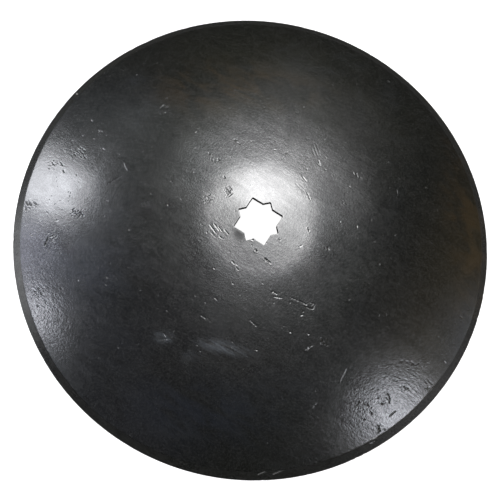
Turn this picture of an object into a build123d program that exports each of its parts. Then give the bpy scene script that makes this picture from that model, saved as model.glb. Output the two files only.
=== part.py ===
from build123d import *
import math
import os

# A plain harrow disc blade: one piece of steel sheet, cut round, ground to a bevel
# on its outer (convex) face, punched through the middle and hot-pressed to a dish.
# It lies mouth down on z = 0 with its dome upwards; +Z is the axis of the dish and
# the origin is the centre of the mouth. The flats of the larger square of the
# axle hole lie along X and Y.

# ---- driving dimensions, millimetres ---------------------------------------------
DISC_DIAMETER = 457.2        # 18 in, over the outer corner of the cutting edge
SHEET_THICKNESS = 3.8        # 9 gauge plate
CONCAVITY = 57.0             # depth of the hollow, from the mouth to the edge of the axle hole, 2 1/4 in
CONE_SLOPE = 5.5             # degrees: round the axle hole the plate stands as a shallow cone
CONE_RADIUS = 45.0           # where the cone ends and the shoulder begins
SHOULDER_SLOPE = 8.9         # degrees: the slope that the shoulder turns to
SHOULDER_RADIUS = 62.0       # where the shoulder ends
DISH_RADIUS = 95.0           # from here to the mouth the plate is a plain sphere
EDGE_LAND = 1.0              # what the grinding leaves of the plate at the cutting edge
BEVEL_INNER_RADIUS = 221.1   # where the bevel meets the outer face
RIDGE_RADIUS = 2.0           # the soft ridge between bevel and outer face
EDGE_RADIUS = 0.22           # the cutting edge's two corners, blunted by the paint

BIG_SQUARE = 32.6            # across flats: clears a 1 1/4 in square axle
SMALL_SQUARE = 30.2          # across flats, turned 45 degrees: clears a 1 1/8 in square axle
POINT_RADIUS = 0.8           # in the eight outer points of the hole
NOTCH_RADIUS = 0.7           # on the eight inner corners of the hole
HOLE_EDGE_ROLL = 0.45        # the edge that the punch drew in, on the outer face

# ---- construction ----------------------------------------------------------------
PILOT_RADIUS = 9.0           # the turned sheet starts here, well inside the axle hole
SEAM_ANGLE = 30.0            # where the turned faces close: crosses a flat, not a point

# ---- the section -----------------------------------------------------------------
# The hollow face, from the axis outwards: a cone, a shoulder of small radius, an
# easing arc, and a sphere. Each runs into the next without a kink, and the outer
# face lies one sheet's thickness away from it all along.
cone = math.radians(CONE_SLOPE)
shoulder = math.radians(SHOULDER_SLOPE)
shoulder_arc = (SHOULDER_RADIUS - CONE_RADIUS) / (math.sin(shoulder) - math.sin(cone))
hole_edge = BIG_SQUARE / 2


def drop_to_sphere(sphere):
    """How far the hollow face falls from the hole's edge to the start of the sphere."""
    dish = math.asin(DISH_RADIUS / sphere)
    easing_arc = (DISH_RADIUS - SHOULDER_RADIUS) / (math.sin(dish) - math.sin(shoulder))
    return (
        (CONE_RADIUS - hole_edge) * math.tan(cone)
        + shoulder_arc * (math.cos(cone) - math.cos(shoulder))
        + easing_arc * (math.cos(shoulder) - math.cos(dish))
    )


mouth_radius = DISC_DIAMETER / 2
for _ in range(20):
    low_guess, high_guess = 400.0, 700.0
    for _ in range(60):
        inner_sphere = (low_guess + high_guess) / 2
        depth = (
            math.sqrt(inner_sphere**2 - DISH_RADIUS**2)
            - math.sqrt(inner_sphere**2 - mouth_radius**2)
            + drop_to_sphere(inner_sphere)
        )
        if depth > CONCAVITY:
            low_guess = inner_sphere
        else:
            high_guess = inner_sphere
    slope = math.asin(mouth_radius / inner_sphere)
    mouth_radius = DISC_DIAMETER / 2 - EDGE_LAND * math.sin(slope)
outer_sphere = inner_sphere + SHEET_THICKNESS
centre_z = -math.sqrt(inner_sphere**2 - mouth_radius**2)
dish = math.asin(DISH_RADIUS / inner_sphere)
easing_arc = (DISH_RADIUS - SHOULDER_RADIUS) / (math.sin(dish) - math.sin(shoulder))

# arc centres, in the section: (radius, z)
sphere_centre = (0.0, centre_z)
easing_centre = (
    sphere_centre[0] + (inner_sphere - easing_arc) * math.sin(dish),
    sphere_centre[1] + (inner_sphere - easing_arc) * math.cos(dish),
)
shoulder_centre = (
    easing_centre[0] + (easing_arc - shoulder_arc) * math.sin(shoulder),
    easing_centre[1] + (easing_arc - shoulder_arc) * math.cos(shoulder),
)


def on_arc(centre, radius, angle):
    return (centre[0] + radius * math.sin(angle), centre[1] + radius * math.cos(angle))


def on_sphere(radius, sphere):
    return (radius, centre_z + math.sqrt(sphere**2 - radius**2))


def on_cone(radius, out):
    top = on_arc(shoulder_centre, shoulder_arc + out, cone)
    return (radius, top[1] + (top[0] - radius) * math.tan(cone))


def face(out, rim):
    """The lines of one face, from the pilot to a point on the sphere at the rim's radius."""
    points = [
        on_cone(PILOT_RADIUS, out),
        on_arc(shoulder_centre, shoulder_arc + out, cone),
        on_arc(shoulder_centre, shoulder_arc + out, shoulder),
        on_arc(easing_centre, easing_arc + out, dish),
        on_sphere(rim, inner_sphere + out),
    ]
    middles = [
        on_arc(shoulder_centre, shoulder_arc + out, (cone + shoulder) / 2),
        on_arc(easing_centre, easing_arc + out, (shoulder + dish) / 2),
        on_sphere((points[3][0] + rim) / 2, inner_sphere + out),
    ]
    Line(points[0], points[1])
    ThreePointArc(points[1], middles[0], points[2])
    ThreePointArc(points[2], middles[1], points[3])
    ThreePointArc(points[3], middles[2], points[4])
    return points[0], points[4]


edge_in = (mouth_radius, 0.0)
edge_out = (
    mouth_radius + EDGE_LAND * math.sin(slope),
    EDGE_LAND * math.cos(slope),
)
ridge = on_sphere(BEVEL_INNER_RADIUS, outer_sphere)

turn = math.radians(SEAM_ANGLE)
section_plane = Plane(
    origin=(0, 0, 0),
    x_dir=(math.cos(turn), math.sin(turn), 0),
    z_dir=(math.sin(turn), -math.cos(turn), 0),
)

with BuildPart() as blade:
    with BuildSketch(section_plane) as section:
        with BuildLine():
            pilot_in, _ = face(0.0, mouth_radius)
            pilot_out, _ = face(SHEET_THICKNESS, BEVEL_INNER_RADIUS)
            Line(pilot_in, pilot_out)
            Line(ridge, edge_out)
            Line(edge_out, edge_in)
        make_face()
        for corner, radius in (
            (ridge, RIDGE_RADIUS),
            (edge_out, EDGE_RADIUS),
            (edge_in, EDGE_RADIUS),
        ):
            nearest = min(
                section.vertices(),
                key=lambda v: math.hypot(v.X - corner[0], v.Y - corner[1]),
            )
            fillet(nearest, radius)
    revolve(axis=Axis.Z)

    # ---- the axle hole: two squares, one turned 45 degrees -----------------------
    with BuildSketch(Plane.XY.offset(CONCAVITY - 20)) as star:
        Rectangle(BIG_SQUARE, BIG_SQUARE)
        Rectangle(SMALL_SQUARE, SMALL_SQUARE, rotation=45)
        tip = min(BIG_SQUARE, SMALL_SQUARE) / math.sqrt(2) * 0.97
        points = [v for v in star.vertices() if math.hypot(v.X, v.Y) > tip]
        fillet(points, POINT_RADIUS)
        notch = max(BIG_SQUARE, SMALL_SQUARE) / 2 * 1.12
        inner = [v for v in star.vertices() if math.hypot(v.X, v.Y) < notch]
        fillet(inner, NOTCH_RADIUS)
    extrude(amount=40, mode=Mode.SUBTRACT)

    # ---- the drawn-in edge of the hole, on the outer face ------------------------
    rolled = [
        e
        for e in blade.edges()
        if max(math.hypot(p.X, p.Y) for p in (e.position_at(0), e.position_at(1))) < BIG_SQUARE
        and min(e.position_at(0).Z, e.position_at(1).Z) > CONCAVITY + SHEET_THICKNESS / 2
    ]
    fillet(rolled, HOLE_EDGE_ROLL)

disc_blade = blade.part.solid()
low = disc_blade.bounding_box().min.Z
disc_blade = disc_blade.moved(Location((0, 0, -low)))

os.makedirs("parts", exist_ok=True)
export_step(disc_blade, "parts/disc_blade.step")

print("slope of the hollow face at the mouth", round(math.degrees(slope), 2))
print("inner sphere", round(inner_sphere, 2), "outer sphere", round(outer_sphere, 2))
print("centre of both spheres at z", round(centre_z - low, 3), "lowered by", round(low, 4))
print("shoulder arc", round(shoulder_arc, 2), "easing arc", round(easing_arc, 2), "dish slope", round(math.degrees(dish), 3))
print("ridge", ridge, "edge_out", edge_out, "edge_in", edge_in)
print("hole edges rolled", len(rolled), "faces", len(disc_blade.faces()))
print("volume", round(disc_blade.volume), "kg of steel", round(disc_blade.volume * 7.85e-6, 3))
print("box", disc_blade.bounding_box())
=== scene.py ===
import math

import bmesh
import bpy
import numpy as np
from mathutils import Matrix, Vector
from mathutils.geometry import delaunay_2d_cdt


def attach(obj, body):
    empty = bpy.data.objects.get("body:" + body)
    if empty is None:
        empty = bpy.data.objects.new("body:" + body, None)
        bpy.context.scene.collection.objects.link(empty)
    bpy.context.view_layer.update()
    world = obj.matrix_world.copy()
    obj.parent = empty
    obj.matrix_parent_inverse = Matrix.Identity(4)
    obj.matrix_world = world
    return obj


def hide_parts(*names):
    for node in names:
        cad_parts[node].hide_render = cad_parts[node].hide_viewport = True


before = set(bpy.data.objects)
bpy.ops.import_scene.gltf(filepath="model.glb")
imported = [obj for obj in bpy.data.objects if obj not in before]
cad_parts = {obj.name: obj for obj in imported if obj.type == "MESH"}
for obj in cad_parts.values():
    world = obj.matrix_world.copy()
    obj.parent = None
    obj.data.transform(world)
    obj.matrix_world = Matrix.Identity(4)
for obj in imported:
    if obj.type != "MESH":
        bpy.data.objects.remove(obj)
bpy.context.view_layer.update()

# A dished disc blade, mouth down on z = 0, dome up, its axis along +Z. Lengths below
# are millimetres until the mesh is written, and the mesh is in metres.

# ---- the section, as the frame has it ---------------------------------------------
DIAMETER = 457.2
SHEET = 3.8
HOLLOW = 57.0
LAND = 1.0
RIDGE = 221.1
EDGE_RADIUS = 0.22
BIG_HALF = 16.3
SMALL_HALF = 15.1
POINT_RADIUS = 0.8
NOTCH_RADIUS = 0.7
ROLL = 0.45

CONE, CONE_END = math.radians(5.5), 45.0
SHOULDER, SHOULDER_END = math.radians(8.9), 62.0
DISH_START = 95.0
LOWERED = 0.0764

shoulder_arc = (SHOULDER_END - CONE_END) / (math.sin(SHOULDER) - math.sin(CONE))
mouth = DIAMETER / 2
for _ in range(20):
    low_guess, high_guess = 400.0, 700.0
    for _ in range(60):
        INNER = (low_guess + high_guess) / 2
        dish = math.asin(DISH_START / INNER)
        easing_arc = (DISH_START - SHOULDER_END) / (math.sin(dish) - math.sin(SHOULDER))
        depth = math.sqrt(INNER**2 - DISH_START**2) - math.sqrt(INNER**2 - mouth**2)
        depth += (CONE_END - BIG_HALF) * math.tan(CONE) + shoulder_arc * (math.cos(CONE) - math.cos(SHOULDER)) + easing_arc * (math.cos(SHOULDER) - math.cos(dish))
        if depth > HOLLOW:
            low_guess = INNER
        else:
            high_guess = INNER
    slope = math.asin(mouth / INNER)
    mouth = DIAMETER / 2 - LAND * math.sin(slope)
CENTRE_Z = -math.sqrt(INNER**2 - mouth**2) - LOWERED
easing_centre = ((INNER - easing_arc) * math.sin(dish), CENTRE_Z + (INNER - easing_arc) * math.cos(dish))
shoulder_centre = (easing_centre[0] + (easing_arc - shoulder_arc) * math.sin(SHOULDER), easing_centre[1] + (easing_arc - shoulder_arc) * math.cos(SHOULDER))
EDGE_OUT = np.array([DIAMETER / 2, LAND * math.cos(slope) - LOWERED])
EDGE_IN = np.array([mouth, -LOWERED])


def profile(r, out):
    """Height of the hollow face (out = 0) or of the face lying out beyond it: a cone, a shoulder, an easing arc and a sphere."""
    arc, ease, ball = shoulder_arc + out, easing_arc + out, INNER + out
    r0 = shoulder_centre[0] + arc * math.sin(CONE)
    z0 = shoulder_centre[1] + arc * math.cos(CONE)
    r1 = shoulder_centre[0] + arc * math.sin(SHOULDER)
    r2 = easing_centre[0] + ease * math.sin(dish)
    on_cone = z0 + (r0 - r) * math.tan(CONE)
    on_shoulder = shoulder_centre[1] + np.sqrt(np.maximum(arc**2 - (r - shoulder_centre[0]) ** 2, 0.0))
    on_easing = easing_centre[1] + np.sqrt(np.maximum(ease**2 - (r - easing_centre[0]) ** 2, 0.0))
    on_ball = CENTRE_Z + np.sqrt(ball**2 - r**2)
    return np.where(r < r0, on_cone, np.where(r < r1, on_shoulder, np.where(r < r2, on_easing, on_ball)))

# ---- marks on the outer face: x, y, x, y, half width, depth, lip -------------------
GOUGES = [
    (-184.6, -20.5, -181.7, -21.2, 0.7, 0.22, 0.08), (-180.6, -21.2, -177.6, -21.6, 0.6, 0.2, 0.08), (-178.7, -28.2, -176.0, -28.6, 0.6, 0.22, 0.08),
    (-175.2, -26.8, -172.3, -27.5, 0.6, 0.2, 0.08), (-185.3, -28.6, -182.7, -29.9, 0.6, 0.18, 0.04), (-184.5, -24.9, -182.1, -26.1, 0.6, 0.2, 0.05),
    (-164.1, -12.1, -161.4, -12.9, 0.6, 0.2, 0.08), (-189.8, -9.8, -188.2, -10.0, 0.5, 0.14, 0.04), (-178.4, 2.1, -176.4, 1.2, 0.6, 0.2, 0.08),
    (-176.2, 3.0, -173.3, 1.5, 0.6, 0.2, 0.06), (-137.6, -15.3, -134.1, -18.1, 0.55, 0.10, 0.05), (-134.1, -18.1, -129.6, -21.0, 0.55, 0.11, 0.05),
    (-130.2, -53.9, -129.0, -54.3, 0.6, 0.2, 0.05), (-153.6, -76.6, -151.4, -77.4, 0.7, 0.22, 0.08), (-148.8, -78.2, -146.4, -78.6, 0.7, 0.22, 0.08),
    (-146.0, -75.3, -143.9, -75.3, 0.6, 0.2, 0.08), (-143.0, -75.9, -141.0, -77.1, 0.6, 0.2, 0.04), (-200.0, -90.5, -195.5, -92.3, 0.8, 0.24, 0.1),
    (-195.7, -89.7, -192.1, -91.3, 0.8, 0.24, 0.1), (-192.4, -87.5, -188.8, -88.0, 0.7, 0.2, 0.08), (-197.6, -94.9, -194.1, -97.7, 0.7, 0.22, 0.08),
    (-157.8, -117.5, -159.2, -108.8, 0.8, 0.28, 0.12), (-157.9, -108.2, -154.9, -105.1, 0.6, 0.2, 0.06), (-155.0, -110.1, -151.3, -110.3, 0.6, 0.16, 0.05),
    (-198.9, -46.1, -194.9, -47.2, 0.6, 0.16, 0.06), (-190.9, -42.4, -187.4, -44.2, 0.6, 0.18, 0.06), (-185.0, -47.9, -182.7, -49.1, 0.6, 0.18, 0.05),
    (-138.5, -40.1, -131.5, -27.3, 0.35, 0.1, 0.0), (139.1, -67.4, 140.5, -79.9, 0.6, 0.2, 0.1), (187.1, -26.3, 190.5, -27.0, 0.7, 0.24, 0.06),
    (191.8, -26.5, 194.3, -22.5, 0.6, 0.2, 0.09), (195.0, -34.9, 197.7, -34.2, 0.6, 0.2, 0.08), (212.3, -30.5, 215.9, -30.6, 0.7, 0.24, 0.08),
    (213.3, -37.2, 215.0, -34.9, 0.7, 0.24, 0.08), (192.7, -48.9, 195.4, -49.6, 0.6, 0.2, 0.05), (195.5, -47.6, 198.1, -48.2, 0.6, 0.2, 0.05),
    (182.5, -63.4, 187.0, -65.2, 0.6, 0.24, 0.05), (187.0, -65.2, 189.1, -69.3, 0.6, 0.24, 0.05), (182.5, -74.2, 184.7, -73.4, 0.7, 0.24, 0.06),
    (163.7, -84.3, 164.3, -88.5, 0.7, 0.22, 0.1), (167.5, -83.0, 170.4, -83.2, 0.6, 0.2, 0.05), (171.0, -82.4, 174.2, -82.7, 0.6, 0.2, 0.05),
    (177.4, -86.1, 180.8, -86.8, 0.7, 0.26, 0.06), (196.1, -78.5, 198.3, -71.9, 0.7, 0.26, 0.06), (190.3, -92.1, 193.1, -91.7, 0.6, 0.28, 0.1),
    (193.1, -91.7, 192.9, -94.1, 0.6, 0.28, 0.1), (192.9, -94.1, 195.6, -94.3, 0.6, 0.28, 0.1), (195.6, -94.3, 194.8, -97.5, 0.6, 0.28, 0.1),
    (197.7, -91.0, 199.9, -91.4, 0.7, 0.28, 0.1), (213.1, 12.7, 214.5, 12.8, 0.6, 0.2, 0.06), (214.3, -6.3, 217.5, -7.3, 0.6, 0.2, 0.06),
    (-62.0, 57.2, -58.8, 57.4, 0.6, 0.16, 0.06), (-56.8, 56.2, -54.3, 55.8, 0.6, 0.18, 0.04), (-74.1, 32.8, -72.3, 32.3, 0.6, 0.18, 0.06),
    (-69.4, 28.7, -66.6, 26.8, 0.5, 0.18, 0.05), (-66.7, 29.7, -64.3, 27.6, 0.5, 0.16, 0.05), (-63.8, 31.7, -61.4, 31.0, 0.5, 0.16, 0.05),
    (-49.5, 19.3, -47.8, 18.7, 0.9, 0.34, 0.06), (-43.2, 11.3, -34.4, 8.3, 0.5, 0.24, 0.08), (-41.3, 14.1, -35.9, 12.4, 0.45, 0.2, 0.06),
    (-37.7, 14.0, -36.9, 3.7, 0.5, 0.24, 0.08), (-35.7, 4.9, -33.8, 9.8, 0.5, 0.22, 0.08), (-40.7, 7.8, -36.9, 6.5, 0.5, 0.2, 0.06),
    (-54.7, -6.6, -50.3, -2.1, 0.6, 0.18, 0.05), (-52.7, -10.2, -46.2, -5.1, 0.6, 0.2, 0.05), (-50.3, -11.5, -47.6, -8.9, 0.6, 0.18, 0.04),
    (-52.4, -4.8, -45.9, -9.9, 0.5, 0.14, 0.03), (-35.5, -26.5, -26.8, -30.1, 0.6, 0.2, 0.09), (-32.8, -23.7, -25.1, -26.7, 0.55, 0.18, 0.08),
    (-28.3, -23.8, -22.8, -25.9, 0.5, 0.16, 0.06), (-21.7, -23.4, -16.1, -25.4, 0.6, 0.2, 0.08), (-22.2, -31.2, -17.9, -31.3, 0.55, 0.18, 0.07),
    (-30.4, -32.6, -24.5, -33.3, 0.5, 0.14, 0.05), (10.8, 60.2, 16.5, 57.9, 0.6, 0.22, 0.06), (9.4, 50.0, 21.5, 47.6, 0.4, 0.1, 0.04),
    (11.0, 52.3, 21.6, 50.1, 0.35, 0.08, 0.03), (22.9, 48.6, 25.6, 47.1, 0.6, 0.18, 0.06), (26.0, 46.0, 29.1, 44.3, 0.6, 0.18, 0.06),
    (41.1, 20.2, 44.0, 18.3, 0.6, 0.24, 0.1), (43.6, 0.2, 45.4, 3.2, 0.6, 0.18, 0.06), (11.6, -24.2, 13.6, -24.6, 0.9, 0.3, 0.12),
    (23.0, -26.2, 30.0, -27.1, 0.8, 0.34, 0.14), (-0.7, -44.2, 2.5, -45.2, 0.7, 0.26, 0.1), (5.9, -47.2, 9.0, -48.0, 0.6, 0.22, 0.1),
    (23.9, -4.3, 26.5, -4.4, 0.5, 0.16, 0.05), (2.1, 95.7, 13.3, 85.8, 0.4, 0.09, 0.04), (2.9, 98.4, 13.7, 88.6, 0.35, 0.08, 0.03),
    (2.9, 91.1, 13.2, 81.9, 0.35, 0.07, 0.03), (15.2, 83.3, 19.7, 79.0, 0.5, 0.14, 0.05), (4.2, -17.8, 5.6, -17.9, 0.7, 0.26, 0.05),
    (70.5, -41.1, 77.1, -40.3, 0.8, 0.28, 0.12), (76.5, -42.4, 84.2, -40.5, 0.7, 0.26, 0.1), (77.7, -37.1, 83.7, -35.5, 0.6, 0.2, 0.08),
    (77.6, -51.7, 79.2, -49.8, 0.6, 0.2, 0.05), (2.2, -99.8, 7.8, -99.6, 0.6, 0.10, 0.05), (7.7, -98.7, 14.7, -100.1, 0.5, 0.09, 0.05),
    (-17.7, -129.8, -13.6, -131.8, 0.8, 0.2, 0.08), (-18.3, -137.2, -9.9, -131.0, 0.7, 0.16, 0.08), (-14.1, -137.8, -12.4, -131.4, 0.6, 0.16, 0.06),
    (99.3, -73.4, 99.5, -70.1, 0.6, 0.2, 0.08), (104.0, -57.0, 107.3, -60.5, 0.6, 0.2, 0.08), (108.5, -58.2, 113.9, -59.4, 0.6, 0.22, 0.08),
    (108.6, -55.2, 111.4, -56.5, 0.5, 0.18, 0.06), (89.2, -175.2, 90.6, -175.4, 0.6, 0.2, 0.06), (-67.7, 189.9, -66.2, 189.3, 0.6, 0.2, 0.06),
    (26.7, 207.5, 29.7, 207.2, 0.7, 0.26, 0.1), (-4.2, 223.0, -1.5, 222.9, 0.7, 0.3, 0.12), (91.1, 104.7, 95.6, 98.5, 0.4, 0.12, 0.05),
    (47.9, 92.7, 50.7, 91.0, 0.6, 0.12, 0.05), (52.1, 92.4, 54.8, 90.8, 0.6, 0.12, 0.05), (56.3, 92.2, 58.8, 91.3, 0.6, 0.12, 0.05),
    (51.4, 77.9, 53.8, 77.7, 0.6, 0.14, 0.05), (65.4, 15.4, 67.6, 13.7, 0.7, 0.26, 0.1), (85.7, 61.6, 87.1, 61.2, 0.6, 0.2, 0.05),
    (118.7, 42.3, 120.0, 42.1, 0.5, 0.16, 0.05), (-123.0, 11.5, -120.9, 11.7, 0.6, 0.2, 0.08), (-88.6, -9.5, -86.1, -9.9, 0.6, 0.2, 0.08),
    (-98.3, -28.3, -96.5, -29.0, 0.6, 0.18, 0.06), (-78.6, -29.9, -76.6, -30.3, 0.6, 0.18, 0.05), (-119.9, 52.3, -118.1, 51.6, 0.5, 0.16, 0.05),
    (-121.6, 12.0, -119.5, 11.6, 0.5, 0.16, 0.05), (-139.3, 49.9, -138.4, 55.8, 0.6, 0.2, 0.08), (-133.5, 46.2, -131.1, 49.8, 0.6, 0.2, 0.08),
    (-137.0, 55.0, -133.7, 53.5, 0.6, 0.2, 0.06), (-138.8, 45.6, -134.7, 43.5, 0.5, 0.16, 0.05), (-131.9, 37.9, -127.9, 15.5, 0.35, 0.08, 0.04),
    (-191.4, 8.0, -189.3, 7.5, 0.6, 0.18, 0.05), (-112.6, -129.4, -110.7, -130.0, 0.6, 0.2, 0.06), (-121.4, -143.4, -119.6, -143.7, 0.6, 0.18, 0.05),
    (-113.0, -161.2, -111.1, -161.6, 0.6, 0.18, 0.05), (-142.6, -157.3, -138.2, -158.7, 0.6, 0.2, 0.07), (-141.8, -153.3, -137.7, -153.5, 0.6, 0.2, 0.07),
    (-136.8, -155.5, -133.5, -157.1, 0.6, 0.2, 0.06), (-49.3, -213.2, -41.9, -214.4, 0.6, 0.18, 0.09), (-41.9, -214.4, -34.0, -215.8, 0.5, 0.14, 0.07),
    (-46.4, -156.9, -44.9, -157.1, 0.5, 0.16, 0.05), (11.8, -150.5, 13.2, -150.7, 0.5, 0.16, 0.05), (-26.7, -111.7, -25.2, -112.1, 0.5, 0.16, 0.05),
    (14.5, -135.7, 15.8, -135.7, 0.5, 0.14, 0.04), (4.1, -44.6, 5.5, -44.6, 0.5, 0.16, 0.05), (26.5, 45.6, 28.0, 45.2, 0.5, 0.16, 0.05),
    (16.6, 79.8, 18.4, 79.3, 0.5, 0.16, 0.05), (191.4, -48.7, 193.3, -48.9, 0.6, 0.2, 0.06), (210.3, 51.2, 212.4, 51.2, 0.7, 0.24, 0.08),
    (205.6, 39.1, 208.8, 38.2, 0.6, 0.22, 0.08), (204.1, 30.5, 207.3, 29.4, 0.6, 0.2, 0.07), (157.4, -123.7, 158.9, -123.8, 0.5, 0.16, 0.05),
    (133.6, -119.5, 138.2, -119.6, 0.4, 0.1, 0.05), (-11.0, -58.0, -9.2, -58.4, 0.6, 0.2, 0.08), (60.0, -99.0, 62.0, -98.2, 0.6, 0.2, 0.08), (-226.8, 30.0, -220.3, 26.6, 0.8, 0.3, 0.14), (120.8, -189.0, 125.6, -181.6, 0.6, 0.2, 0.1),
    (123.3, -188.1, 127.5, -182.0, 0.5, 0.16, 0.08), (131.9, -181.9, 138.3, -172.1, 0.6, 0.2, 0.1), (193.0, -108.8, 195.2, -106.3, 1.1, 0.4, 0.1),
    (195.2, -106.3, 197.1, -103.3, 1.0, 0.36, 0.1), (-192.2, -124.8, -189.0, -126.4, 0.7, 0.25, 0.08), (-78.2, -96.9, -76.9, -97.2, 0.5, 0.14, 0.04),
    (-90.3, -114.0, -88.6, -114.5, 0.8, 0.2, 0.02),
    (44.4, -47.4, 49.4, -47.4, 0.6, 0.26, 0.10), (48.8, -50.8, 55.3, -47.9, 0.5, 0.16, 0.08), (60.9, -42.8, 72.9, -41.2, 0.45, 0.10, 0.05),
    (72.9, -41.2, 80.4, -42.7, 0.5, 0.14, 0.06), (83.8, -36.1, 84.2, -40.1, 0.5, 0.16, 0.06), (104.2, -57.7, 108.1, -60.4, 0.55, 0.24, 0.10),
    (108.1, -60.4, 112.6, -60.5, 0.5, 0.22, 0.10), (97.6, -74.7, 101.4, -67.0, 0.5, 0.17, 0.07), (77.0, -69.4, 78.6, -68.6, 0.7, 0.28, 0.12),
    (91.6, -61.8, 93.2, -61.0, 0.6, 0.24, 0.10), (4.5, -80.1, 7.2, -80.7, 0.6, 0.14, 0.06), (41.6, -79.7, 49.0, -81.3, 0.55, 0.22, 0.10),
    (13.3, -123.3, 14.6, -123.0, 0.7, 0.24, 0.10), (17.8, -126.0, 19.2, -126.6, 0.6, 0.2, 0.08), (124.5, -90.5, 138.4, -81.3, 0.4, 0.12, 0.05),
    (131.6, -112.9, 132.5, -106.0, 0.45, 0.18, 0.07), (10.3, -60.5, 12.0, -61.0, 0.6, 0.22, 0.08), (32.4, -45.8, 34.0, -46.4, 0.6, 0.2, 0.08),
]

# ---- small chips, strewn in patches: x, y, half lengths, turn, count, half width, depth
CLUSTERS = [
    (-180.7, -25.9, 7.8, 6.4, 26, 18, 0.42, 0.16), (-176.2, 1.3, 3.9, 3.3, 26, 8, 0.4, 0.14), (-148.0, -76.3, 7.6, 4.9, 27, 16, 0.42, 0.15),
    (-194.2, -90.1, 8.1, 4.1, 25, 16, 0.45, 0.16), (-194.9, -46.5, 10.0, 5.3, 25, 16, 0.4, 0.12), (-158.9, -107.8, 6.8, 5.8, 27, 10, 0.42, 0.14),
    (-139.5, -156.7, 6.8, 5.5, 28, 12, 0.4, 0.12), (-136.0, 51.0, 5.7, 6.7, 29, 10, 0.4, 0.14), (-66.1, 28.8, 6.5, 4.1, 32, 12, 0.38, 0.13),
    (-37.4, 9.1, 5.5, 6.8, 32, 10, 0.36, 0.14), (-50.1, -6.8, 6.4, 4.8, 32, 12, 0.38, 0.12), (-26.0, -27.6, 10.0, 7.5, 32, 16, 0.38, 0.12),
    (20.8, 50.2, 6.6, 9.8, 35, 14, 0.36, 0.12), (53.6, 88.9, 6.9, 7.1, 37, 12, 0.42, 0.09), (192.9, -24.8, 12.3, 5.4, 35, 18, 0.42, 0.15),
    (214.8, -33.5, 7.5, 5.4, 36, 14, 0.42, 0.16), (192.9, -46.6, 9.1, 6.2, 35, 16, 0.4, 0.14), (184.8, -68.2, 7.9, 7.1, 34, 14, 0.4, 0.14),
    (169.6, -83.7, 8.7, 5.3, 34, 14, 0.42, 0.14), (195.4, -94.0, 7.9, 4.4, 34, 12, 0.42, 0.16), (77.7, -40.5, 9.2, 5.3, 34, 12, 0.42, 0.14),
    (8.6, -99.7, 7.1, 5.3, 32, 6, 0.4, 0.09), (-14.4, -133.3, 7.2, 4.4, 31, 10, 0.42, 0.12), (109.1, -58.9, 8.4, 5.3, 34, 10, 0.4, 0.13),
    (208.0, 41.6, 8.9, 7.5, 38, 14, 0.42, 0.14), (216.5, -5.8, 8.9, 7.3, 37, 14, 0.4, 0.14), (178.8, -43.4, 22.1, 10.6, 35, 22, 0.38, 0.11),
    (166.9, -100.2, 19.2, 8.7, 33, 20, 0.38, 0.11), (-173.3, -70.2, 21.4, 18.0, 26, 22, 0.36, 0.09), (-124.3, -167.3, 11.5, 23.5, 28, 22, 0.36, 0.1),
    (22.8, -30.4, 23.7, 10.9, 33, 16, 0.36, 0.1), (-51.2, 50.4, 28.0, 12.3, 33, 18, 0.34, 0.09), (9.5, 92.0, 13.6, 16.6, 36, 16, 0.34, 0.09),
    (137.0, -142.5, 22.2, 6.9, 33, 12, 0.36, 0.1),
]

# ---- how far the ridge of the bevel strays from its circle: disc angle, mm ---------
RIDGE_STRAY = [
    (3.0, 0.08), (12.7, 0.63), (22.3, 0.04), (32.0, 0.14), (56.6, -1.08), (66.6, -0.91),
    (79.8, -0.5), (92.1, -0.24), (102.4, 0.0), (123.0, 0.29), (133.3, 0.1), (153.5, 0.0),
    (173.2, -0.1), (192.7, 0.0), (207.2, 0.28), (226.7, 0.23), (241.6, 0.39), (261.8, 0.32),
    (292.7, -0.29), (303.0, -0.58), (328.5, -0.58), (336.5, -0.53), (343.4, -0.57), (353.2, -0.68),
]


def smooth(a, b, x):
    t = np.clip((x - a) / (b - a), 0.0, 1.0)
    return t * t * (3.0 - 2.0 * t)


def waves(x, y, shortest, longest, count, seed, along=None, stretch=1.0):
    """Random ripples of unit spread with wavelengths between two lengths, stretched along an angle."""
    rng = np.random.default_rng(seed)
    if along is not None:
        c, s = math.cos(along), math.sin(along)
        x, y = (x * c + y * s) / stretch, y * c - x * s
    out = np.zeros_like(x)
    for _ in range(count):
        length = shortest * (longest / shortest) ** rng.random()
        turn, phase = rng.random(2) * 2 * math.pi
        out += np.cos((x * math.cos(turn) + y * math.sin(turn)) * 2 * math.pi / length + phase)
    return out / math.sqrt(count / 2)


def patch(x, y, cx, cy, rx, ry, turn=0.0, soft=0.5):
    """1 inside a turned ellipse, falling to 0 at its edge."""
    c, s = math.cos(math.radians(turn)), math.sin(math.radians(turn))
    u, v = ((x - cx) * c + (y - cy) * s) / rx, ((y - cy) * c - (x - cx) * s) / ry
    return 1.0 - smooth(1.0 - soft, 1.0 + soft, np.hypot(u, v))


# ---- outer face, with its bevel ----------------------------------------------------
stray_angles = np.array([a for a, _ in RIDGE_STRAY])
stray_values = np.array([v for _, v in RIDGE_STRAY])


def ridge_radius(angle):
    deg = np.degrees(angle) % 360.0
    wobble = 0.06 * np.cos(23 * angle + 1.1) + 0.05 * np.cos(41 * angle + 0.4) + 0.04 * np.cos(67 * angle)
    return RIDGE + np.interp(deg, stray_angles, stray_values, period=360.0) + wobble


def outer_z(r, angle):
    top = ridge_radius(angle)
    z_ridge = profile(top, SHEET)
    bevel = EDGE_OUT[1] + (EDGE_OUT[0] - r) * (z_ridge - EDGE_OUT[1]) / (EDGE_OUT[0] - top)
    dome = profile(r, SHEET)
    k = 0.30
    h = np.maximum(k - np.abs(bevel - dome), 0.0) / k
    return np.minimum(bevel, dome) - h * h * k / 4.0


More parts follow.
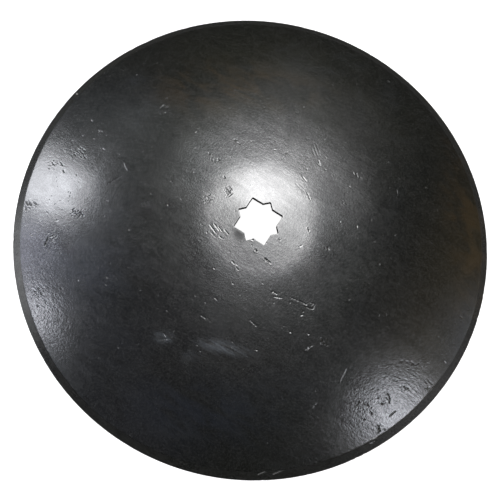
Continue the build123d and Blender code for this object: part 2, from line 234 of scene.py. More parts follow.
def outer_normal(x, y):
    r, a = np.hypot(x, y), np.arctan2(y, x)
    slope_r = (outer_z(r + 0.05, a) - outer_z(r - 0.05, a)) / 0.1
    n = np.stack([-slope_r * np.cos(a), -slope_r * np.sin(a), np.ones_like(r)], axis=1)
    return n / np.linalg.norm(n, axis=1)[:, None]


# ---- every mark as one short groove: x0, y0, x1, y1, half width, depth, lip --------
def scatter(clusters, seed):
    rng = np.random.default_rng(seed)
    out = []
    for cx, cy, rx, ry, turn, count, width, depth in clusters:
        c, s = math.cos(math.radians(turn)), math.sin(math.radians(turn))
        for _ in range(count):
            rad, ang = math.sqrt(rng.random()) * 1.1, rng.random() * 2 * math.pi
            u, v = rx * rad * math.cos(ang), ry * rad * math.sin(ang)
            x, y = cx + u * c - v * s, cy + u * s + v * c
            lean, size = rng.random() * math.pi, 0.2 + 1.3 * rng.random() ** 2
            dx, dy = size * math.cos(lean) / 2, size * math.sin(lean) / 2
            grow = 0.5 + 0.9 * rng.random()
            out.append((x - dx, y - dy, x + dx, y + dy, width * (0.85 + 0.35 * rng.random()), depth * grow, 0.35 * depth * grow))
    return out


def strewn(count, seed, inner, outer, width, depth, length):
    """Small marks all over a face, most of them short and shallow."""
    rng = np.random.default_rng(seed)
    out = []
    while len(out) < count:
        x, y = (rng.random(2) * 2 - 1) * outer
        if not inner < math.hypot(x, y) < outer:
            continue
        lean, size = rng.random() * math.pi, length[0] + (length[1] - length[0]) * rng.random() ** 3
        dx, dy = size * math.cos(lean) / 2, size * math.sin(lean) / 2
        deep = depth[0] + (depth[1] - depth[0]) * rng.random() ** 2
        out.append((x - dx, y - dy, x + dx, y + dy, width[0] + (width[1] - width[0]) * rng.random(), deep, 0.3 * deep))
    return out


outer_marks = [(x0, y0, x1, y1, max(0.75 * w, 0.40), 1.05 * depth, 1.0 * lip) for x0, y0, x1, y1, w, depth, lip in GOUGES]
outer_marks += scatter(CLUSTERS, 11) + strewn(260, 12, 30, 218, (0.38, 0.48), (0.08, 0.22), (0.3, 2.4))
outer_marks += strewn(30, 13, 34, 215, (0.36, 0.45), (0.05, 0.12), (3.0, 9.0))
outer_marks = [(*m[:5], m[5] * (0.6 if math.hypot(m[0], m[1]) < 62 else 1.0), m[6]) for m in outer_marks]
inner_marks = strewn(120, 21, 30, 222, (0.45, 0.8), (0.06, 0.2), (0.3, 2.5)) + strewn(26, 22, 30, 218, (0.4, 0.6), (0.05, 0.12), (4.0, 16.0))


def groove_depth(x, y, marks, seed):
    h = np.zeros_like(x)
    rough = waves(x, y, 0.9, 2.4, 24, seed)
    for x0, y0, x1, y1, w, depth, lip in marks:
        reach = w * 3.2
        near = np.flatnonzero(
            (x > min(x0, x1) - reach) & (x < max(x0, x1) + reach) & (y > min(y0, y1) - reach) & (y < max(y0, y1) + reach)
        )
        if not len(near):
            continue
        px, py = x[near], y[near]
        lx, ly = x1 - x0, y1 - y0
        size = max(math.hypot(lx, ly), 1e-6)
        t = ((px - x0) * lx + (py - y0) * ly) / size**2
        tc = np.clip(t, 0.0, 1.0)
        d = np.hypot(px - x0 - tc * lx, py - y0 - tc * ly)
        side = ((px - x0) * ly - (py - y0) * lx) / size
        taper = 1.0 - 0.55 * (2 * tc - 1.0) ** 4
        cut = -depth * np.exp(-((d / w) ** 2)) * taper * (1.0 + 0.3 * rough[near])
        rim = lip * np.exp(-(((d - 1.55 * w) / (0.6 * w)) ** 2)) * (0.35 + 0.65 * (side > 0))
        h[near] += cut + rim
    return h


# ---- a mesh that is coarse on the plain face and fine where the marks are ----------
FINEST = 0.4


def lattice(base, marks, limit, hole, zones=()):
    """Points of one triangular lattice, kept where its spacing is wanted. base is the plain spacing as a power of two of FINEST."""
    def inside(i, j, step):
        return np.stack([(i + 0.5 * j) * FINEST, j * FINEST * math.sqrt(3) / 2], axis=1)

    found = set()
    step = 2**base
    reach = int(limit / FINEST / step * 1.25) + 2
    i, j = np.meshgrid(np.arange(-reach, reach + 1) * step, np.arange(-reach, reach + 1) * step)
    found.update(zip(i.ravel().tolist(), j.ravel().tolist()))
    for wanted, test in zones:
        step = 2**wanted
        reach = int(limit / FINEST / step * 1.25) + 2
        i, j = np.meshgrid(np.arange(-reach, reach + 1) * step, np.arange(-reach, reach + 1) * step)
        i, j = i.ravel(), j.ravel()
        p = inside(i, j, step)
        keep = test(p[:, 0], p[:, 1])
        found.update(zip(i[keep].tolist(), j[keep].tolist()))
    for x0, y0, x1, y1, w, depth, lip in marks:
        for level, margin in ((0, 0.85 * w + 0.25), (1, 1.5 * w + 0.8), (2, 1.5 * w + 1.9)):
            if level >= base or (level == 0 and depth < 0.1):
                continue
            step = 2**level
            ja = math.floor((min(y0, y1) - margin) / (FINEST * math.sqrt(3) / 2) / step) * step
            jb = math.ceil((max(y0, y1) + margin) / (FINEST * math.sqrt(3) / 2) / step) * step
            for jj in range(ja, jb + 1, step):
                ia = math.floor(((min(x0, x1) - margin) / FINEST - 0.5 * jj) / step) * step
                ib = math.ceil(((max(x0, x1) + margin) / FINEST - 0.5 * jj) / step) * step
                for ii in range(ia, ib + 1, step):
                    px, py = (ii + 0.5 * jj) * FINEST, jj * FINEST * math.sqrt(3) / 2
                    lx, ly = x1 - x0, y1 - y0
                    t = ((px - x0) * lx + (py - y0) * ly) / max(lx * lx + ly * ly, 1e-9)
                    t = min(max(t, 0.0), 1.0)
                    if math.hypot(px - x0 - t * lx, py - y0 - t * ly) < margin:
                        found.add((ii, jj))
    ij = np.array(sorted(found))
    p = inside(ij[:, 0], ij[:, 1], 1)
    r = np.hypot(p[:, 0], p[:, 1])
    keep = (r < limit) & (r > hole)
    return p[keep]


# ---- the axle hole's outline, any distance outside or inside its nominal size ------
def hole_outline(out):
    """Counter-clockwise points; the same number whatever the offset, so that outlines can be bridged."""
    big, small = BIG_HALF + out, SMALL_HALF + out
    meet = small * math.sqrt(2) - big
    corners = []
    for k in range(4):
        turn = k * math.pi / 2
        c, s = math.cos(turn), math.sin(turn)
        for (x, y), kind in (
            ((small * math.sqrt(2), 0.0), "point"),
            ((big, meet), "notch"),
            ((big, big), "point"),
            ((meet, big), "notch"),
        ):
            corners.append((np.array([x * c - y * s, x * s + y * c]), kind))
    total = len(corners)
    arcs = []
    for k, (p, kind) in enumerate(corners):
        back = corners[k - 1][0] - p
        ahead = corners[(k + 1) % total][0] - p
        back, ahead = back / np.linalg.norm(back), ahead / np.linalg.norm(ahead)
        half = math.acos(np.clip(back @ ahead, -1, 1)) / 2
        radius = POINT_RADIUS + out if kind == "point" else max(NOTCH_RADIUS - out, 0.12)
        middle = back + ahead
        middle /= np.linalg.norm(middle)
        centre = p + middle * radius / math.sin(half)
        a, b = p + back * radius / math.tan(half), p + ahead * radius / math.tan(half)
        a0, a1 = math.atan2(*(a - centre)[::-1]), math.atan2(*(b - centre)[::-1])
        sweep = (a1 - a0 + math.pi) % (2 * math.pi) - math.pi
        steps = 6 if kind == "point" else 4
        arcs.append([centre + radius * np.array([math.cos(a0 + sweep * q / steps), math.sin(a0 + sweep * q / steps)]) for q in range(steps + 1)])
    outline = []
    for k in range(total):
        outline += arcs[k]
        a, b = arcs[k][-1], arcs[(k + 1) % total][0]
        steps = 5 if k % 4 in (0, 3) else 8
        outline += [a + (b - a) * q / steps for q in range(1, steps)]
    return np.array(outline)


nominal = hole_outline(0.0)
hole_steps = np.linalg.norm(np.roll(nominal, -1, axis=0) - nominal, axis=1)
hole_run = np.concatenate([[0.0], np.cumsum(hole_steps)[:-1]])
hole_around = hole_run / (hole_run[-1] + hole_steps[-1]) * 2 * math.pi
hole_ragged = sum(
    a * np.cos(n * hole_around + p)
    for n, a, p in ((19, 0.035, 0.3), (31, 0.03, 1.7), (47, 0.028, 2.9), (71, 0.02, 4.1), (103, 0.014, 5.2))
)
outward = nominal / np.linalg.norm(nominal, axis=1)[:, None]
burr = 0.55 * np.exp(-(((nominal[:, 0] - 4.6) / 0.8) ** 2)) * (nominal[:, 1] < -14)


def hole_loop(out, share):
    """An outline with the punched edge's small waviness, and the one burr that the punch left."""
    return hole_outline(out) + outward * (hole_ragged * share - burr * share)[:, None]


# ---- triangles between loops, in plan ----------------------------------------------
def plan_mesh(loops, cloud, spare):
    """Delaunay triangles over closed loops (the first is the hole, the last the rim) and a cloud of points kept clear of them."""
    count = sum(len(l) for l in loops)
    points = np.concatenate(list(loops) + [cloud])
    edges, start = [], 0
    for l in loops:
        edges += [(start + k, start + (k + 1) % len(l)) for k in range(len(l))]
        start += len(l)
    verts, _, faces, origin, _, _ = delaunay_2d_cdt([Vector(p) for p in points], edges, [], 0, 1e-5, True)
    xy = np.array([v[:] for v in verts])
    new = {}
    for k, sources in enumerate(origin):
        for s in sources:
            new[s] = k
    tri = np.array([f for f in faces if len(f) == 3])
    middle = xy[tri].mean(axis=1)
    hole = loops[0]
    order = np.argsort(np.arctan2(hole[:, 1], hole[:, 0]))
    ring = hole[order]
    angles = np.arctan2(ring[:, 1], ring[:, 0])
    at = np.searchsorted(angles, np.arctan2(middle[:, 1], middle[:, 0]))
    a, b = ring[(at - 1) % len(ring)], ring[at % len(ring)]
    cross = (b[:, 0] - a[:, 0]) * (middle[:, 1] - a[:, 1]) - (b[:, 1] - a[:, 1]) * (middle[:, 0] - a[:, 0])
    tri = tri[~((cross > 0) & (np.hypot(middle[:, 0], middle[:, 1]) < 30))]
    first = [new[k] for k in range(len(loops[0]))]
    last = [new[count - len(loops[-1]) + k] for k in range(len(loops[-1]))]
    used = np.zeros(len(xy), bool)
    used[tri.ravel()] = True
    remap = -np.ones(len(xy), int)
    remap[used] = np.arange(used.sum())
    return xy[used], remap[tri], remap[first], remap[last]


def circle(radius, count=720):
    a = np.arange(count) * 2 * math.pi / count
    radius = radius(a) if callable(radius) else radius
    return np.stack([radius * np.cos(a), radius * np.sin(a)], axis=1)


def clear_of_rings(p, rings, gap):
    r, a = np.hypot(p[:, 0], p[:, 1]), np.arctan2(p[:, 1], p[:, 0])
    keep = np.ones(len(p), bool)
    for ring in rings:
        radius = ring(a) if callable(ring) else ring
        keep &= np.abs(r - radius) > gap
    return p[keep]


def clear_of_hole(p, outline, gap):
    near = np.hypot(p[:, 0], p[:, 1]) < 30
    keep = np.ones(len(p), bool)
    q = p[near]
    a, b = outline, np.roll(outline, -1, axis=0)
    ab = b - a
    t = np.clip(((q[:, None] - a[None]) * ab[None]).sum(2) / (ab * ab).sum(1)[None], 0, 1)
    d = np.linalg.norm(q[:, None] - a[None] - t[..., None] * ab[None], axis=2).min(axis=1)
    reach = np.arctan2(q[:, 1], q[:, 0])
    order = np.argsort(np.arctan2(outline[:, 1], outline[:, 0]))
    edge = np.interp(reach, np.arctan2(outline[order, 1], outline[order, 0]), np.hypot(outline[order, 0], outline[order, 1]), period=2 * math.pi)
    keep[near] = (d > gap) & (np.hypot(q[:, 0], q[:, 1]) > edge)
    return p[keep]


# ---- the rim's section: land and its two blunted corners ---------------------------
def corner_arc(corner, before, after, radius, steps):
    u = (before - corner) / np.linalg.norm(before - corner)
    v = (after - corner) / np.linalg.norm(after - corner)
    half = math.acos(u @ v) / 2
    m = (u + v) / np.linalg.norm(u + v)
    c = corner + m * radius / math.sin(half)
    a, b = corner + u * radius / math.tan(half), corner + v * radius / math.tan(half)
    a0, a1 = math.atan2(*(a - c)[::-1]), math.atan2(*(b - c)[::-1])
    sweep = (a1 - a0 + math.pi) % (2 * math.pi) - math.pi
    return [c + radius * np.array([math.cos(a0 + sweep * q / steps), math.sin(a0 + sweep * q / steps)]) for q in range(steps + 1)]


ridge_point = np.array([RIDGE, float(profile(RIDGE, SHEET))])
face_point = np.array([mouth - 2.0, float(profile(mouth - 2.0, 0.0))])
rim_section = corner_arc(EDGE_OUT, ridge_point, EDGE_IN, EDGE_RADIUS, 4)
rim_lower = corner_arc(EDGE_IN, EDGE_OUT, face_point, EDGE_RADIUS, 4)
rim_section += [(rim_section[-1] + rim_lower[0]) / 2] + rim_lower
rim_out, rim_in = rim_section[0][0], rim_section[-1][0]

around = np.arange(720) * 2 * math.pi / 720
rng = np.random.default_rng(31)
rim_wear = np.zeros(720)
for _ in range(46):
    where, wide, deep = rng.random() * 2 * math.pi, 0.7 + 2.2 * rng.random(), 0.03 + 0.24 * rng.random() ** 2
    apart = np.abs((around - where + math.pi) % (2 * math.pi) - math.pi) * DIAMETER / 2
    rim_wear += deep * np.exp(-((apart / wide) ** 2))
for where, wide, deep in ((-33.4, 1.6, 0.42), (-31.5, 1.2, 0.3), (-146.7, 1.1, 0.45), (90.6, 1.0, 0.35), (107.5, 1.2, 0.3), (-56.0, 1.4, 0.3)):
    apart = np.abs((around - math.radians(where) + math.pi) % (2 * math.pi) - math.pi) * DIAMETER / 2
    rim_wear += deep * np.exp(-((apart / wide) ** 2))
rim_wear += 0.012 * (1 + waves(DIAMETER / 2 * np.cos(around), DIAMETER / 2 * np.sin(around), 5, 26, 24, 32))
rim_wear = np.clip(rim_wear, 0.0, 0.6)

# ---- outer face --------------------------------------------------------------------
rings = [lambda a, d=d: ridge_radius(a) + d for d in (-0.8, -0.4, 0.0, 0.4, 0.8)]
outer_loops = [hole_loop(ROLL, 0.7), hole_loop(ROLL + 0.35, 0.5)]
outer_loops += [circle(r) for r in rings] + [circle(rim_out - 0.3), circle(rim_out)]
fine_zones = (
    (2, lambda x, y: np.hypot(x, y) > RIDGE),
    (1, lambda x, y: patch(x, y, 182, -78, 40, 20, 35) > 0.4),
    (2, lambda x, y: patch(x, y, 176, -78, 62, 34, 35) > 0.3),
    (1, lambda x, y: patch(x, y, -128, -158, 32, 13, -39) > 0.4),
    (2, lambda x, y: np.hypot(x, y) < 48),
)
cloud = lattice(3, outer_marks, rim_out - 0.9, 14.0, fine_zones)
cloud = clear_of_rings(cloud, rings, 0.32)
cloud = clear_of_hole(cloud, outer_loops[1], 0.4)
xy, tri, hole_at, rim_at = plan_mesh(outer_loops, cloud, 0)
X, Y = xy[:, 0], xy[:, 1]
R, A = np.hypot(X, Y), np.arctan2(Y, X)


def press_waves(x, y):
    """What hot pressing leaves: long low waves over the dish and shorter ones on top."""
    r = np.hypot(x, y)
    long = 0.05 * waves(x, y, 95, 170, 16, 41) + 0.014 * waves(x, y, 42, 75, 24, 42)
    short = 0.004 * waves(x, y, 16, 30, 30, 43)
    return (long * (1 - 0.35 * smooth(180, 225, r)) + short) * smooth(14, 60, r) * (1 - 0.85 * smooth(214, 226, r))


def outer_height(x, y):
    r, a = np.hypot(x, y), np.arctan2(y, x)
    h = press_waves(x, y) + groove_depth(x, y, outer_marks, 44)
    hammer = patch(x, y, 182, -74, 40, 22, 35, 0.45)
    hammer = np.maximum(hammer, 0.55 * patch(x, y, -128, -158, 32, 13, -39, 0.5))
    h += hammer * (0.0075 * waves(x, y, 2.6, 5.0, 70, 45, 0.02, 4.0) + 0.008 * waves(x, y, 5.5, 10, 40, 48, -0.05, 2.6))
    h += 0.003 * waves(x, y, 6.5, 12, 44, 46) * (1 - smooth(216, 224, r)) * smooth(26, 44, r)
    on_bevel = smooth(0.5, 2.0, r - ridge_radius(a))
    h += on_bevel * 0.012 * waves(x, y, 5, 14, 40, 47)
    return h


H = outer_height(X, Y)
H *= smooth(0.1, 1.6, rim_out - R) * 0.9 + 0.1
outer_co = np.stack([X, Y, outer_z(R, A)], axis=1) + outer_normal(X, Y) * H[:, None]
outer_bevel = smooth(-0.3, 0.5, R - ridge_radius(A))
pull = np.interp(A % (2 * math.pi), around, rim_wear, period=2 * math.pi) * smooth(1.6, 0.0, rim_out - R)
outer_co[:, 0] -= pull * np.cos(A)
outer_co[:, 1] -= pull * np.sin(A)

# ---- inner face --------------------------------------------------------------------
inner_loops = [hole_loop(-0.16, 1.0), hole_loop(0.35, 0.6), circle(rim_in - 0.35), circle(rim_in)]
cloud = lattice(4, inner_marks, rim_in - 0.9, 14.0, ((3, lambda x, y: np.hypot(x, y) < 60), (3, lambda x, y: np.hypot(x, y) > 215)))
cloud = clear_of_hole(cloud, inner_loops[1], 0.4)
ixy, itri, ihole_at, irim_at = plan_mesh(inner_loops, cloud, 0)
IX, IY = ixy[:, 0], ixy[:, 1]
IR, IA = np.hypot(IX, IY), np.arctan2(IY, IX)
IH = -press_waves(IX, IY) * 0.9 + groove_depth(IX, IY, inner_marks, 52) + 0.012 * waves(IX, IY, 7, 14, 40, 53)
IH *= smooth(0.1, 1.6, rim_in - IR) * 0.9 + 0.1
inner_base = np.stack([IX, IY, profile(IR, 0.0)], axis=1)
inner_slope = (profile(IR + 0.05, 0.0) - profile(IR - 0.05, 0.0)) / 0.1
inner_n = np.stack([inner_slope * np.cos(IA), inner_slope * np.sin(IA), -np.ones_like(IR)], axis=1)
inner_n /= np.linalg.norm(inner_n, axis=1)[:, None]
inner_co = inner_base + inner_n * IH[:, None]
ipull = np.interp(IA % (2 * math.pi), around, rim_wear, period=2 * math.pi) * smooth(1.6, 0.0, rim_in - IR) * 0.6
inner_co[:, 0] -= ipull * np.cos(IA)
inner_co[:, 1] -= ipull * np.sin(IA)
inner_co[:, 2] = np.maximum(inner_co[:, 2], 0.002)

# ---- the rim and the wall of the hole join the two faces ---------------------------
co = [outer_co, inner_co]
faces = [tri, itri[:, ::-1] + len(outer_co)]
total = len(outer_co) + len(inner_co)


def bridge(upper, lower):
    n = len(upper)
    up, low = np.asarray(upper), np.asarray(lower)
    un, ln = np.roll(up, -1), np.roll(low, -1)
    faces.append(np.stack([up, low, ln], axis=1))
    faces.append(np.stack([up, ln, un], axis=1))


row = np.asarray(rim_at)
ends = np.asarray(irim_at) + len(outer_co)
for k, (r, z) in enumerate(rim_section[1:-1], 1):
    share = 1.0 if k < 6 else 0.8
    rr = r - rim_wear * share
    co.append(np.stack([rr * np.cos(around), rr * np.sin(around), np.full(720, max(z, 0.0))], axis=1))
    nxt = total + np.arange(720)
    bridge(row, nxt)
    row, total = nxt, total + 720
bridge(row, ends)

sides = len(nominal)
thick = float(profile(20.0, SHEET) - profile(20.0, 0.0))
hole_rows = [(ROLL * (1 - math.cos(math.radians(f))), ROLL * (1 - math.sin(math.radians(f))), 0.7 + 0.3 * (90 - f) / 90) for f in (67.5, 45.0, 22.5, 0.0)]
hole_rows += [(0.0, 1.0, 1.0), (-0.02, 1.7, 1.0), (-0.08, 2.15, 1.2), (-0.14, 2.8, 1.5), (-0.26, thick - 0.2, 1.5), (-0.24, thick - 0.06, 1.2)]
row = np.asarray(hole_at)
for k, (out, deep, share) in enumerate(hole_rows):
    loop = hole_loop(out, share)
    r = np.hypot(loop[:, 0], loop[:, 1])
    z = profile(r, SHEET) - deep
    if k >= 6:
        z = z + 0.05 * np.cos(29 * hole_around + k) + 0.04 * np.cos(53 * hole_around + 2 * k)
    if k >= len(hole_rows) - 2:
        z = profile(r, 0.0) + (0.2 if k == len(hole_rows) - 2 else 0.06)
    co.append(np.stack([loop[:, 0], loop[:, 1], z], axis=1))
    nxt = total + np.arange(sides)
    bridge(nxt, row)
    row, total = nxt, total + sides
bridge(np.asarray(ihole_at) + len(outer_co), row)

co = np.concatenate(co)
faces = np.concatenate(faces)
mesh = bpy.data.meshes.new("disc_blade_painted")
mesh.from_pydata((co * 0.001).tolist(), [], faces.tolist())
mesh.validate()
work = bmesh.new()
work.from_mesh(mesh)
bmesh.ops.recalc_face_normals(work, faces=work.faces)
open_edges = sum(1 for e in work.edges if not e.is_manifold)
work.to_mesh(mesh)
work.free()
mesh.polygons.foreach_set("use_smooth", [True] * len(mesh.polygons))
print("blade mesh:", len(mesh.vertices), "vertices", len(mesh.polygons), "triangles", open_edges, "open edges")

# ---- masks that the paint reads ----------------------------------------------------
vx, vy = co[:, 0], co[:, 1]
vr = np.hypot(vx, vy)
va = np.arctan2(vy, vx)
outer_side = np.zeros(len(co))
outer_side[: len(outer_co)] = 1.0


def mask(name, values):
    layer = mesh.attributes.new(name, "FLOAT", "POINT")
    layer.data.foreach_set("value", np.clip(values, 0, 1).astype(np.float32))


bevel = np.zeros(len(co))
bevel[: len(outer_co)] = outer_bevel
bevel[len(outer_co) + len(inner_co) : len(outer_co) + len(inner_co) + 720 * (len(rim_section) - 2)] = 1.0
mask("bevel", bevel)
dust = 1.0 * patch(vx, vy, 35, -112.5, 22, 5.0, 19, 0.6) + 0.8 * patch(vx, vy, -16, -133, 8, 4.5, 25, 0.8) + 0.35 * patch(vx, vy, 15, -134, 9, 4.5, 40, 0.8)
mask("dust", dust * outer_side)
haze = np.zeros(len(co))
for cx, cy, rx, ry, turn, much in (
    (-178, 67, 9, 7, 60, 0.9), (-138, 51, 12, 6, 0, 0.9), (-21, 205, 10, 6, 40, 0.6), (37, 193, 17, 9, 120, 0.5), (37, -195, 16, 8, 30, 0.8), (-57, 164, 16, 9, 100, 0.5),
    (14, -90, 30, 9, 122, 0.45), (213, 42, 30, 9, 100, 0.7), (143, -157, 26, 9, 45, 0.5), (-110, -60, 40, 9, 122, 0.35), (-95, -110, 34, 8, 122, 0.3), (60, 120, 42, 12, 60, 0.3), (-60, 120, 30, 10, 32, 0.4),
    (-75, 175, 18, 3, 60, 0.6), (20, 160, 30, 3, 122, 0.5), (60, 150, 24, 3, 20, 0.5), (-30, 175, 26, 3, 30, 0.6), (120, -20, 30, 4, 122, 0.35), (150, 20, 30, 4, 122, 0.3),
    (-152, 44, 20, 4, 100, 0.7), (-84, 140, 26, 3, 32, 0.7), (-18, 138, 26, 3, 108, 0.8), (-40, 128, 30, 3, 116, 0.5), (-8, 200, 12, 6, 32, 0.7), (96, 96, 40, 5, 100, 0.3), (-128, 60, 12, 5, 60, 0.6),
):
    haze = np.maximum(haze, much * patch(vx, vy, cx, cy, rx, ry, turn, 0.95))
mask("haze", haze * outer_side)
# Painted reflection: a cool blue tint for the base colour over the lower face, standing in for bluish surroundings
# mirrored in the gloss.
cool_reflection_tint = np.zeros(len(co))
for cx, cy, rx, ry, turn, much in ((50, -168, 58, 24, 25, 1.0), (96, -118, 34, 14, 32, 0.5), (-95, -122, 40, 30, 50, 0.6), (-138, -70, 34, 40, 0, 0.5), (-60, -160, 40, 30, 0, 0.4)):
    cool_reflection_tint = np.maximum(cool_reflection_tint, much * patch(vx, vy, cx, cy, rx, ry, turn, 0.95))
mask("cool_reflection_tint", cool_reflection_tint * outer_side)
stain = 1.0 * patch(vx, vy, -8.1, -20.6, 6.5, 3.8, -20, 0.8) + 0.6 * patch(vx, vy, -23, 95, 15, 5.5, 115, 0.9) + 0.35 * patch(vx, vy, -46, 14, 10, 5, 30, 0.9)
for cx, cy, size in ((-96.0, -40.0, 4.0), (-139.0, -108.0, 5.0), (-88.0, -113.0, 4.5), (64.0, -6.0, 3.5)):
    stain = np.maximum(stain, 0.5 * patch(vx, vy, cx, cy, size, 0.7 * size, 40, 0.9))
for cx, cy, rx, ry, much in ((55, -112, 42, 15, 0.30), (56, 86, 18, 32, 0.30)):
    stain = np.maximum(stain, much * patch(vx, vy, cx, cy, rx, ry, 32, 0.9))
mask("stain", stain * outer_side)
# Painted reflection: a warm brown tint for the base colour at the top and right of the face, standing in for warm
# surroundings mirrored in the gloss.
warm_reflection_tint = 0.95 * patch(vx, vy, -100, 102, 52, 24, 32, 0.9) + 0.6 * patch(vx, vy, -52, 128, 40, 16, 32, 0.9) + 0.8 * patch(vx, vy, 166, 122, 64, 18, -52, 0.9) + 0.4 * patch(vx, vy, 203, 60, 24, 10, 100, 0.9)
mask("warm_reflection_tint", warm_reflection_tint * outer_side)
rim_zone = smooth(170, 214, vr) * np.maximum(patch(va * 57.3, vr, -62, 214, 34, 60, 0, 0.5), patch(va * 57.3, vr, -127, 214, 22, 60, 0, 0.5))
rough = np.maximum(patch(vx, vy, 178, -76, 58, 34, 35, 0.7), rim_zone)
mask("rough", rough * outer_side)
wear = np.zeros(len(co))
bright = [(-224.5, 29.0, -222.5, 28.0, 0.5, 1.0), (121.5, -187.5, 125.0, -182.5, 0.35, 0.4), (133.0, -180.0, 137.5, -173.5, 0.35, 0.4), (194.6, -103.0, 195.4, -102.0, 0.5, 0.9), (193.4, -104.6, 194.0, -104.0, 0.4, 0.8)]
for x0, y0, x1, y1, w, much in bright:
    lx, ly = x1 - x0, y1 - y0
    t = np.clip(((vx - x0) * lx + (vy - y0) * ly) / (lx * lx + ly * ly), 0, 1)
    wear = np.maximum(wear, much * np.exp(-((np.hypot(vx - x0 - t * lx, vy - y0 - t * ly) / w) ** 2)))
mask("wear", wear * outer_side)

calm = np.maximum(0.9 * patch(vx, vy, -176, -68, 48, 44, 0, 0.5), 0.75 * patch(vx, vy, 0, 8, 60, 60, 0, 0.5))
mask("calm", calm * outer_side)
wall = np.zeros(len(co))
wall[-len(nominal) * len(hole_rows) :] = 1.0
mask("wall", wall)

blade = bpy.data.objects.new("blade", mesh)
bpy.context.scene.collection.objects.link(blade)


# ---- the paint ---------------------------------------------------------------------
def add(tree, kind, place=(0, 0), **values):
    n = tree.nodes.new(kind)
    n.location = place
    for key, value in values.items():
        if hasattr(n, key):
            setattr(n, key, value)
        else:
            n.inputs[key.replace("_", " ")].default_value = value
    return n


def noise(tree, vector, scale, detail=2.0, roughness=0.5, distortion=0.0):
    n = tree.nodes.new("ShaderNodeTexNoise")
    n.inputs["Scale"].default_value = scale
    n.inputs["Detail"].default_value = detail
    n.inputs["Roughness"].default_value = roughness
    n.inputs["Distortion"].default_value = distortion
    tree.links.new(vector, n.inputs["Vector"])
    return n.outputs["Fac"]


def stretched(tree, vector, scale, turn=0.0):
    n = tree.nodes.new("ShaderNodeMapping")
    n.inputs["Scale"].default_value = scale
    n.inputs["Rotation"].default_value = (0.0, 0.0, turn)
    tree.links.new(vector, n.inputs["Vector"])
    return n.outputs["Vector"]


def ramp(tree, value, low, high, to_low=0.0, to_high=1.0):
    n = tree.nodes.new("ShaderNodeMapRange")
    n.interpolation_type = "SMOOTHSTEP"
    for k, v in enumerate((low, high, to_low, to_high), 1):
        n.inputs[k].default_value = v
    tree.links.new(value, n.inputs[0])
    return n.outputs[0]


def calc(tree, what, a, b=0.0, c=0.0):
    n = tree.nodes.new("ShaderNodeMath")
    n.operation = what
    for k, v in enumerate((a, b, c)):
        if isinstance(v, (int, float)):
            n.inputs[k].default_value = v
        else:
            tree.links.new(v, n.inputs[k])
    return n.outputs[0]


def blend(tree, factor, a, b):
    n = tree.nodes.new("ShaderNodeMix")
    n.data_type = "RGBA"
    for socket, v in ((n.inputs[0], factor), (n.inputs[6], a), (n.inputs[7], b)):
        if isinstance(v, tuple):
            socket.default_value = (*v, 1.0)
        elif isinstance(v, (int, float)):
            socket.default_value = v
        else:
            tree.links.new(v, socket)
    return n.outputs[2]


def attribute(tree, name):
    n = tree.nodes.new("ShaderNodeAttribute")
    n.attribute_type = "GEOMETRY"
    n.attribute_name = name
    return n.outputs["Fac"]


def bump(tree, height, distance, normal=None, strength=1.0):
    n = tree.nodes.new("ShaderNodeBump")
    n.inputs["Strength"].default_value = strength
    n.inputs["Distance"].default_value = distance
    tree.links.new(height, n.inputs["Height"])
    if normal is not None:
        tree.links.new(normal, n.inputs["Normal"])
    return n.outputs["Normal"]


paint = bpy.data.materials.new("black_paint_on_pressed_steel")
paint.use_nodes = True
t = paint.node_tree
t.nodes.clear()
out = t.nodes.new("ShaderNodeOutputMaterial")
shader = t.nodes.new("ShaderNodeBsdfPrincipled")
t.links.new(shader.outputs["BSDF"], out.inputs["Surface"])
where = t.nodes.new("ShaderNodeTexCoord").outputs["Object"]
on_bevel, dusty, stained, worn = (attribute(t, n) for n in ("bevel", "dust", "stain", "wear"))

painted_warm_reflection, coarse, hazy, smooth_there, cut, painted_cool_reflection = (attribute(t, n) for n in ("warm_reflection_tint", "rough", "haze", "calm", "wall", "cool_reflection_tint"))

blotch = noise(t, where, 16.0, 3.0, 0.55)
film = noise(t, stretched(t, where, (22.0, 55.0, 55.0)), 1.0, 4.0, 0.62, 0.6)
mottle = noise(t, where, 120.0, 4.0, 0.65)
fine = noise(t, where, 560.0, 2.0, 0.8)
speck = noise(t, where, 900.0, 1.0, 0.5)
colour = blend(t, ramp(t, blotch, 0.35, 0.65), (0.00322, 0.00368, 0.00506), (0.00598, 0.00552, 0.00552))
colour = blend(t, ramp(t, mottle, 0.40, 0.70, 0.0, 0.7), colour, (0.01104, 0.01104, 0.0115))
colour = blend(t, ramp(t, fine, 0.44, 0.68, 0.0, 0.9), colour, (0.025, 0.025, 0.025))
colour = blend(t, ramp(t, speck, 0.66, 0.76, 0.0, 0.4), colour, (0.0782, 0.0759, 0.0736))
rubbed = noise(t, stretched(t, where, (60.0, 260.0, 260.0), 0.3), 1.0, 4.0, 0.65)
colour = blend(t, calc(t, "MULTIPLY", hazy, ramp(t, rubbed, 0.36, 0.66, 0.15, 1.0)), colour, (0.0276, 0.02944, 0.03404))
# Painted reflection: cool blue tint low on the face, standing in for bluish surroundings mirrored in the gloss.
colour = blend(t, calc(t, "MULTIPLY", painted_cool_reflection, ramp(t, film, 0.34, 0.62, 0.10, 0.72)), colour, (0.01564, 0.01932, 0.03128))
# Painted reflection: warm brown tint at the top and right of the face, standing in for warm surroundings mirrored in
# the gloss.
colour = blend(t, calc(t, "MULTIPLY", painted_warm_reflection, ramp(t, film, 0.40, 0.62, 0.0, 0.9)), colour, (0.0437, 0.02576, 0.01196))
smear = noise(t, stretched(t, where, (60.0, 420.0, 420.0), -0.35), 1.0, 3.0, 0.6)
colour = blend(t, calc(t, "MULTIPLY", dusty, ramp(t, smear, 0.36, 0.66, 0.0, 0.8)), colour, (0.0966, 0.1104, 0.1288))
colour = blend(t, worn, colour, (0.80, 0.79, 0.77))
t.links.new(colour, shader.inputs["Base Color"])

